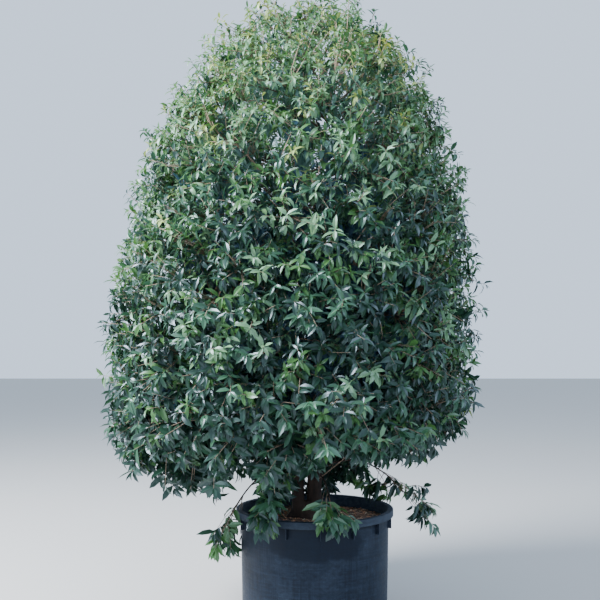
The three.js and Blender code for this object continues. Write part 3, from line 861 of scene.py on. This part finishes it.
def make_inner_tips(random):
    """Tips of the shoots that fill the crown behind its outer shell."""
    points, inward = crown_points(INNER_COUNT)
    insets = random.uniform(*INNER_INSET, len(points))
    tips = points + inward * insets[:, None] + random.normal(0, INNER_SCATTER, points.shape)
    return thin_out(tips, inward, np.interp(points[:, 2], *INNER_KEPT), random)


def nearest_seat(points, seats):
    return np.argmin(norm(points[:, None] - seats[None], axis=2), axis=1)


def primary_twigs(mass, targets, random):
    """Twigs from the mass's stem to its targets, as paths of seven points."""
    paths = []
    for i, target in enumerate(targets):
        share = PRIMARY_FROM + (1 - PRIMARY_FROM) * (i + random.random()) / len(targets)
        root = mass["curve"].at(mass["entry"] + (1 - mass["entry"]) * share)
        reach = norm(target - root)
        control = ((root + target) / 2 + UP * PRIMARY_LIFT * reach
                   + random.normal(0, PRIMARY_BEND, 3) * reach)
        paths.append(arc(root, control, target).evenly(7))
    return np.array(paths)


# A shoot grows from the nearest twig point, and one that it leaves onward counts as nearer.
ASIDE_COST = 1.5
ONWARD_GAIN = 0.6
# Where it bends, as shares along the twig's heading and along the way to its tip.
HEADING_SHARE = 0.3
TIP_SHARE = 0.35
# Heights, and how far the bend rises there.
SHOOT_LIFT = ((1.2, 2.0, 3.0), (0.15, 0.0, -0.2))


def grow_shoots(primaries, tips):
    """A shoot to each tip from the best place on the twigs, as paths of three points."""
    samples = primaries[:, 2:].reshape(-1, 3)
    headings = unit(np.gradient(primaries, axis=1)[:, 2:].reshape(-1, 3))
    gaps = tips[:, None] - samples[None]
    distances = norm(gaps, axis=2)
    ahead = (gaps * headings[None]).sum(2) / np.maximum(distances, 1e-9)
    best = np.argmin(distances * (ASIDE_COST - ONWARD_GAIN * ahead), axis=1)
    roots = samples[best]
    reach = norm(tips - roots, axis=1, keepdims=True)
    control = roots + headings[best] * reach * HEADING_SHARE + (tips - roots) * TIP_SHARE
    control[:, 2] += np.interp(tips[:, 2], *SHOOT_LIFT) * reach[:, 0]
    return bend(roots, control, tips, SHOOT_STEPS)


def ring_shoots(members, twigs, seats, tips, outward):
    """The shoots of some masses: their paths, and the ways that they face."""
    own = nearest_seat(tips, seats)
    return (np.concatenate([grow_shoots(twigs[i], tips[own == i]) for i in members]),
            np.vstack([outward[own == i] for i in members]))


# Pairs of leaves from a shoot's tip down: distance from it, angle, size and how many
# shoots have them.
LEAF_PAIRS = (
    (0.002, 0.6, 0.62, 0.97),
    (0.012, 0.95, 0.86, 0.97),
    (0.028, 1.2, 1.0, 0.97),
    (0.05, 1.35, 1.02, 0.97),
    (0.082, 1.45, 1.0, 0.5),
)
PAIR_ROOM = 1.15
LEAF_PRESENT = 0.96
LEAF_TURN = 0.2
LEAF_ANGLE = 0.14
LEAF_WAVER = 0.25
LEAF_LENGTHS = (0.7, 1.18)
# A leaf's upper side faces along its shoot, up and outward by these shares.
LEAF_FACING = (0.5, 0.9, 0.5)
# Heights, with the least and the greatest droop of leaves there, and their size.
DROOP_HEIGHTS = (1.2, 2.2, 3.2)
LEAST_DROOP = (-0.05, -0.22, -0.45)
GREATEST_DROOP = (0.8, 0.5, 0.2)
LEAF_SCALE = ((1.0, 1.5, 2.4, 3.1), (1.15, 1.0, 0.9, 0.78))


def shoot_leaves(paths, outward, random, droop=0.0):
    """Crossing pairs of leaves near each shoot's tip, as arrays with a row a leaf."""
    height = paths[:, -1, 2]
    least = droop + np.interp(height, DROOP_HEIGHTS, LEAST_DROOP)
    most = droop + np.interp(height, DROOP_HEIGHTS, GREATEST_DROOP)
    scale = np.interp(height, *LEAF_SCALE)
    axis = unit(paths[:, -1] - paths[:, -2])
    side, over = axis_frame(axis)
    lengths = norm(np.diff(paths, axis=1), axis=2)
    total = lengths.sum(1)
    roll = random.uniform(0, pi, len(paths))
    along_share, up_share, out_share = LEAF_FACING
    rows = []
    for pair, (place, angle, size, share) in enumerate(LEAF_PAIRS):
        has_pair = (total > place * PAIR_ROOM) & (random.random(len(paths)) < share)
        for sign in (1, -1):
            present = np.flatnonzero(has_pair & (random.random(len(paths)) < LEAF_PRESENT))
            tip, bend_point, root = (paths[present, -step] for step in (1, 2, 3))
            late = np.clip(place / lengths[present, -1], 0, 1)[:, None]
            early = np.clip((place - lengths[present, -1]) / lengths[present, -2], 0, 1)[:, None]
            base = tip + (bend_point - tip) * late + (root - bend_point) * early
            turn = (roll[present] + pair * pi / 2
                    + random.normal(0, LEAF_TURN, len(present)))[:, None]
            aside = (side[present] * np.cos(turn) + over[present] * np.sin(turn)) * sign
            spread = (angle + random.normal(0, LEAF_ANGLE, len(present)))[:, None]
            direction = axis[present] * np.cos(spread) + aside * np.sin(spread)
            direction[:, 2] -= random.uniform(least[present], most[present])
            upper = along_share * axis[present] + up_share * UP + out_share * outward[present]
            upper += random.normal(0, LEAF_WAVER, upper.shape)
            length = size * scale[present] * random.uniform(*LEAF_LENGTHS, len(present))
            rows.append((present, base, direction, upper, length))
    return [np.concatenate(column) for column in zip(*rows)]


# Heights, and the share of each tint there.
# Paler upward: partly the young growth at the top, partly painted light on the top and painted
# shade on the lower crown.
TINT_HEIGHTS = (1.0, 1.9, 2.8, 3.4)
TINT_SHARES = {
    "deep": (0.74, 0.42, 0.13, 0.06),
    "plain": (0.18, 0.26, 0.2, 0.12),
    "green": (0.08, 0.18, 0.2, 0.15),
    "pale": (0.0, 0.14, 0.42, 0.45),
    "fresh": (0.0, 0.002, 0.045, 0.22),
    "yellow": (0.0003, 0.0005, 0.001, 0.001),
}
# Inner leaves are paler above about this height: painted light near the top.
LIT_INSIDE = 2.5
LIT_SPREAD = 0.2


def deal_tints(tips, random):
    """A tint for each shoot, paler towards the top, in part as painted light."""
    shares = np.array([np.interp(tips[:, 2], TINT_HEIGHTS, by_height)
                       for by_height in TINT_SHARES.values()])
    edges = np.cumsum(shares, axis=0) / shares.sum(0)
    number = (random.random(len(tips)) > edges[:-1]).sum(0)
    return np.array(list(TINT_SHARES))[number]


def deal_inner_tints(tips, random):
    lit = tips[:, 2] + random.normal(0, LIT_SPREAD, len(tips)) > LIT_INSIDE
    return np.where(lit, "pale_inner", "inner")


def make_leaves(name, paths, outward, size, deal, replaced, random, droop=0.0, rise=0.0):
    """Pieces of leaves on shoots, one for each tint that deal gives the shoots."""
    shoot, base, direction, upper, length = shoot_leaves(paths, outward, random, droop)
    tints = deal(paths[:, -1] + UP * rise, random)[shoot]
    full_length, full_width = size
    width = full_width * length * random.uniform(*LEAF_BREADTHS, len(length))
    fold = random.normal(LEAF_FOLD, FOLD_SPREAD, len(length))
    recurve = random.normal(0, RECURVE_SPREAD, len(length))
    recurve += np.interp(base[:, 2], *LEAF_RECURVE)
    rows = (base, direction, upper, full_length * length, width, fold, recurve)
    for tint, material in LEAF_MATERIALS.items():
        chosen = tints == tint
        if chosen.any():
            blades = leaf_blades(*(values[chosen] for values in rows))
            make_piece(f"{name}_{tint}", blades, material, replaced)


def make_foliage(masses):
    random = seeded("foliage")
    seats = np.array([mass["seat"] for mass in masses])
    targets, inward = crown_points(PRIMARY_COUNT)
    depths = PRIMARY_INSET + random.uniform(-1, 1, (PRIMARY_COUNT, 1)) * PRIMARY_SCATTER
    targets += inward * depths
    own = nearest_seat(targets, seats)
    kinds = make_shoot_tips(random), make_hanging_tips(), (STANDING, outward_at(STANDING))
    outer_tips = [np.vstack(arrays) for arrays in zip(*kinds)]
    inner_tips = make_inner_tips(random)
    twigs = [primary_twigs(mass, targets[own == i], random)
             for i, mass in enumerate(masses)]
    for ring, *_ in RINGS:
        members = [i for i, mass in enumerate(masses) if mass["ring"] == ring]
        names = [masses[i]["name"] for i in members]
        primaries = np.concatenate([twigs[i] for i in members])
        make_twigs(f"twigs_{ring}", primaries, PRIMARY_RADII, 4, OLD_BARK, names)
        outer = ring_shoots(members, twigs, seats, *outer_tips)
        inner = ring_shoots(members, twigs, seats, *inner_tips)
        shoots = np.concatenate([outer[0], inner[0]])
        make_twigs(f"shoots_{ring}", shoots, SHOOT_RADII, 3, YOUNG_BARK, names)
        name = f"leaves_{ring}"
        make_leaves(name, *outer, LEAF_SIZE, deal_tints, names, random)
        make_leaves(name, *inner, INNER_LEAF_SIZE, deal_inner_tints, names, random)


# The bunches of each spray: count of shoots, middle and spread.
SPRAY_BUNCHES = {
    "spray_front_left": ((8, (0.03, 0, 0.09), (0.025, 0.04, 0.03)),
                         (10, (-0.005, 0, -0.02), (0.035, 0.035, 0.035))),
    "spray_front_middle": ((8, (-0.06, 0, 0.02), (0.03, 0.04, 0.03)),
                           (6, (0.04, -0.02, -0.03), (0.03, 0.03, 0.03))),
    "spray_left": ((12, (0.02, 0, -0.04), (0.045, 0.06, 0.045)),),
    "spray_right": ((8, (-0.15, 0, 0.03), (0.045, 0.05, 0.035)),
                    (11, (0.12, 0, -0.1), (0.045, 0.05, 0.075))),
}
RIM_SHOOT_ROOTS = (0.62, 1.0)
RIM_SHOOT_LIFT = 0.03
RIM_DROOP = 0.25
# Their leaves lean towards the light and have the tints of shoots this much higher.
RIM_LEAF_LEAN = np.array([-0.2, -0.9, 0.2])
RIM_TINT_RISE = 1.2


def make_rim_foliage(sprays, random):
    paths, ways = [], []
    for spray in sprays:
        for count, offset, spread in SPRAY_BUNCHES[spray["name"]]:
            tips = spray["seat"] + offset + random.normal(0, 1, (count, 3)) * spread
            roots = spray["curve"].at(np.linspace(*RIM_SHOOT_ROOTS, count))
            paths.append(bend(roots, (roots + tips) / 2 + UP * RIM_SHOOT_LIFT, tips, SHOOT_STEPS))
            ways.append(unit(unit(tips * [1, 1, 0]) + RIM_LEAF_LEAN))
    paths, ways = np.concatenate(paths), np.vstack(ways)
    names = [spray["name"] for spray in sprays]
    make_twigs("shoots_rim", paths, SHOOT_RADII, 3, YOUNG_BARK, names)
    make_leaves("leaves_rim", paths, ways, RIM_LEAF_SIZE, deal_tints, names, random,
                droop=RIM_DROOP, rise=RIM_TINT_RISE)


# The pot.
POT_HEIGHT = 0.64
RIM_RADIUS = 0.45
SKIRT_HEIGHT = 0.038
SKIRT_THICKNESS = 0.0045
FLANGE_THICKNESS = 0.005
WALL_TOP = 0.424
WALL_FOOT = 0.409
WALL_THICKNESS = 0.005
BASE_THICKNESS = 0.006
RIB_COUNT = 15
RIB_FIRST = radians(-87)
RIB_THICKNESS = 0.005
RIB_REACH = 0.443
RIB_BELOW = 0.06
RIB_ROOT = 0.0012
DRAIN_COUNT = 8
DRAIN_SIZE = (0.04, 0.046, 0.024)
POT_SHARP_ANGLE = radians(32)
BOX_CORNERS = np.array([(x, y, z) for z in (-1, 1)
                        for x, y in ((-1, -1), (1, -1), (1, 1), (-1, 1))])
BOX_FACES = np.array([[3, 2, 1, 0], [4, 5, 6, 7], [0, 1, 5, 4], [1, 2, 6, 5], [2, 3, 7, 6],
                      [3, 0, 4, 7]])


def rounded(corner, before, after, radius):
    """Points of a small arc that replaces a profile's corner."""
    corner, before, after = (np.array(p, float) for p in (corner, before, after))
    first = corner + unit(before - corner) * radius
    last = corner + unit(after - corner) * radius
    return bend(first, corner, last, 4)


def turned(profile, sides):
    """A turned body from a profile that starts and ends on the axis."""
    profile = np.array(profile)
    turn = turns(sides)
    radii, heights = profile[1:-1, 0, None], profile[1:-1, 1, None]
    rings = np.stack([radii * np.cos(turn), radii * np.sin(turn), heights.repeat(sides, 1)],
                     axis=-1)
    poles = [[0, 0, profile[0, 1]], [0, 0, profile[-1, 1]]]
    vertices = np.vstack([rings.reshape(-1, 3), poles])
    index = np.arange(len(rings) * sides).reshape(len(rings), sides)
    first, last = index[0], index[-1]
    bottom, top = np.full((2, sides), [[index.size], [index.size + 1]])
    caps = [np.stack([np.roll(first, -1), first, bottom], axis=-1),
            np.stack([last, np.roll(last, -1), top], axis=-1)]
    return vertices, [ring_quads(index), *caps]


def pot_profile():
    slope = (WALL_TOP - WALL_FOOT) / POT_HEIGHT
    flange, skirt = POT_HEIGHT - FLANGE_THICKNESS, POT_HEIGHT - SKIRT_HEIGHT
    inside = RIM_RADIUS - SKIRT_THICKNESS
    # Each corner, with the radius of its rounding.
    corners = [
        ((WALL_FOOT, 0), 0.014),
        ((WALL_TOP, flange), 0.003),
        ((inside, flange), 0.002),
        ((inside, skirt), 0.0015),
        ((RIM_RADIUS, skirt), 0.0015),
        ((RIM_RADIUS, POT_HEIGHT), 0.005),
        ((WALL_TOP - WALL_THICKNESS, POT_HEIGHT), 0.005),
        ((WALL_FOOT - WALL_THICKNESS + slope * BASE_THICKNESS, BASE_THICKNESS), 0.008),
    ]
    start, end = (0, 0), (0, BASE_THICKNESS)
    places = [start, *[corner for corner, _ in corners], end]
    profile = [start]
    for i, (corner, radius) in enumerate(corners):
        profile.extend(rounded(corner, places[i], places[i + 2], radius))
    return [*profile, end]


def boxes(size, place, angles):
    """Boxes of a size at a place, turned by each angle about the pot's axis."""
    x, y, z = (BOX_CORNERS * size / 2 + place).T
    return join_meshes([(np.stack([x * cos(angle) - y * sin(angle),
                                   x * sin(angle) + y * cos(angle), z], axis=1), [BOX_FACES])
                        for angle in angles])


def cut_or_join(body, tool_data, operation):
    """A Boolean of the body with a tool, applied."""
    tool = add_to_scene("tool", new_mesh("tool", *tool_data))
    modifier = body.modifiers.new("boolean", "BOOLEAN")
    modifier.operation = operation
    modifier.solver = "EXACT"
    modifier.object = tool
    bake_modifiers(body)
    bpy.data.objects.remove(tool)


def make_pot():
    shell = turned(pot_profile(), sides=160)
    pot = make_piece("pot_shell", shell, pot_material(), ["nursery_pot"])
    bottom = POT_HEIGHT - SKIRT_HEIGHT - RIB_BELOW
    top = POT_HEIGHT - FLANGE_THICKNESS / 2
    inside = WALL_TOP - WALL_THICKNESS + RIB_ROOT
    rib_size = (RIB_REACH - inside, RIB_THICKNESS, top - bottom)
    rib_place = ((RIB_REACH + inside) / 2, 0, (top + bottom) / 2)
    cut_or_join(pot, boxes(rib_size, rib_place, RIB_FIRST + turns(RIB_COUNT)), "UNION")
    notches = boxes(DRAIN_SIZE, (WALL_FOOT, 0, 0), pi / DRAIN_COUNT + turns(DRAIN_COUNT))
    cut_or_join(pot, notches, "DIFFERENCE")
    pot.data.shade_smooth()
    pot.data.set_sharp_from_angle(angle=POT_SHARP_ANGLE)


# The potting mix, with crumbs and bits of bark on it.
MIX_EDGE = 0.574
MIX_HEAP = 0.585
# The mix slopes down from the first of these radii to the other.
MIX_SLOPE = (0.15, 0.415)
MIX_GAP = 0.0006
MIX_EDGE_RADIUS = (WALL_FOOT - WALL_THICKNESS - MIX_GAP
                   + (WALL_TOP - WALL_FOOT) * MIX_EDGE / POT_HEIGHT)
MIX_FOOT = ((WALL_FOOT - 0.05, 0.0063), (WALL_FOOT - 0.0056, 0.0183))
# How often crumbs come in a metre, and how high they are.
CRUMBS = ((24, 0.006), (70, 0.004))
# Bits of bark: name, count, dark colour and pale colour, lifted as painted light against the
# crown's shade.
CHIP_KINDS = (
    ("chips_red", 480, "a86c50", "e4b48e"),
    ("chips_brown", 520, "665244", "a88e76"),
    ("chips_pale", 90, "a08c74", "d8c8b0"),
)
CHIP_SHAPE = np.array([[-1, -0.5, 0], [1, -0.35, 0], [0.9, 0.5, 0], [-0.8, 0.45, 0],
                       [-0.8, -0.35, 1], [0.75, -0.25, 1], [0.7, 0.3, 1], [-0.6, 0.35, 1]])
# Half a chip's length, half its width, and its thickness: least and greatest.
CHIP_SIZES = ((0.005, 0.018), (0.003, 0.009), (0.0015, 0.005))
CHIP_UNEVENNESS = 0.0008
CHIP_REACH = 0.97
CHIP_TILT = 0.18
CHIP_LEAN = 0.3


def mix_height(radius):
    return np.interp(radius, MIX_SLOPE, (MIX_HEAP, MIX_EDGE))


def make_mix():
    radii = np.linspace(MIX_EDGE_RADIUS, 0.004, num=60)
    profile = [(0, MIX_FOOT[0][1]), *MIX_FOOT, *zip(radii, mix_height(radii)), (0, MIX_HEAP)]
    vertices, faces = turned(profile, sides=120)
    for vertex in vertices:
        if vertex[2] > MIX_EDGE - 0.001:
            place = Vector(vertex)
            for frequency, height in CRUMBS:
                vertex[2] += height * noise.noise(place * frequency)
    make_piece("mix_body", (vertices, faces), mix_material(), ["potting_mix"])


def make_chips(random):
    for name, count, dark, pale in CHIP_KINDS:
        reach = MIX_EDGE_RADIUS * CHIP_REACH * np.sqrt(random.random(count))
        turn = random.uniform(0, 2 * pi, count)
        place = np.stack([reach * np.cos(turn), reach * np.sin(turn), mix_height(reach)], axis=1)
        size = np.stack([random.uniform(*limits, count) for limits in CHIP_SIZES], axis=1)
        shape = CHIP_SHAPE * size[:, None] + random.normal(0, CHIP_UNEVENNESS, (count, 8, 3))
        heading, _, lean = random.normal(0, 1, (3, count, 3))
        along = unit(heading * [1, 1, CHIP_TILT])
        over = unit(UP + CHIP_LEAN * lean)
        over = unit(over - (over * along).sum(1, keepdims=True) * along)
        axes = np.stack([along, np.cross(over, along), over], axis=1)
        vertices = (shape[..., None] * axes[:, None]).sum(2) + place[:, None]
        faces = BOX_FACES + np.arange(count)[:, None, None] * len(CHIP_SHAPE)
        make_piece(name, (vertices.reshape(-1, 3), [faces.reshape(-1, 4)]),
                   chip_material(f"{name}_material", dark, pale), smooth=False)


# Floor, light and camera.
FLOOR_REACH = 60
FLOOR_COLOUR = "b2b2b0"
SKY_COLOUR = "cfe2f9"
SKY_STRENGTH = 1.5
# Lights: name, place, point faced, size, power and colour.
LIGHTS = (
    ("key_light", (-6.2, -2.8, 7.2), (0, 0, 2.6), 4.5, 3900, "f8faff"),
    ("fill_light", (5.0, -3.2, 4.4), (0, 0, 2.1), 4.0, 240, "dfeaff"),
)


def make_studio():
    scene = bpy.context.scene
    corners = BOX_CORNERS[:4] * [FLOOR_REACH, FLOOR_REACH, 0]
    floor = add_to_scene("floor", new_mesh("floor", corners, [[[0, 1, 2, 3]]], smooth=False))
    floor.data.materials.append(plain_material("floor_material", FLOOR_COLOUR, 0.9))

    scene.world = bpy.data.worlds.new("world")
    scene.world.use_nodes = True
    sky = scene.world.node_tree.nodes["Background"]
    sky.inputs["Color"].default_value = linear(SKY_COLOUR)
    sky.inputs["Strength"].default_value = SKY_STRENGTH

    for name, place, target, size, power, colour in LIGHTS:
        data = bpy.data.lights.new(name, "AREA")
        data.shape = "DISK"
        data.size = size
        data.energy = power
        data.color = linear(colour)[:3]
        light = add_to_scene(name, data)
        light.location = place
        light.rotation_euler = (Vector(target) - Vector(place)).to_track_quat("-Z", "Y").to_euler()

    scene.camera = add_to_scene("camera", bpy.data.cameras.new("camera"))
    scene.camera.data.lens = CAMERA_LENS
    scene.camera.data.sensor_width = SENSOR_WIDTH
    scene.camera.location = CAMERA_PLACE
    scene.camera.rotation_euler = (CAMERA_TILT, 0, 0)


stems = stem_curves()
masses = make_masses(stems)
sprays = make_sprays(stems)
find_entries(masses, sprays)
make_limbs(stems, masses, sprays)
make_bare_twigs(stems)
make_trunk(stems)
make_foliage(masses)
rim_random = seeded("rim")
make_rim_foliage(sprays, rim_random)
make_pot()
make_mix()
make_chips(rim_random)
make_studio()
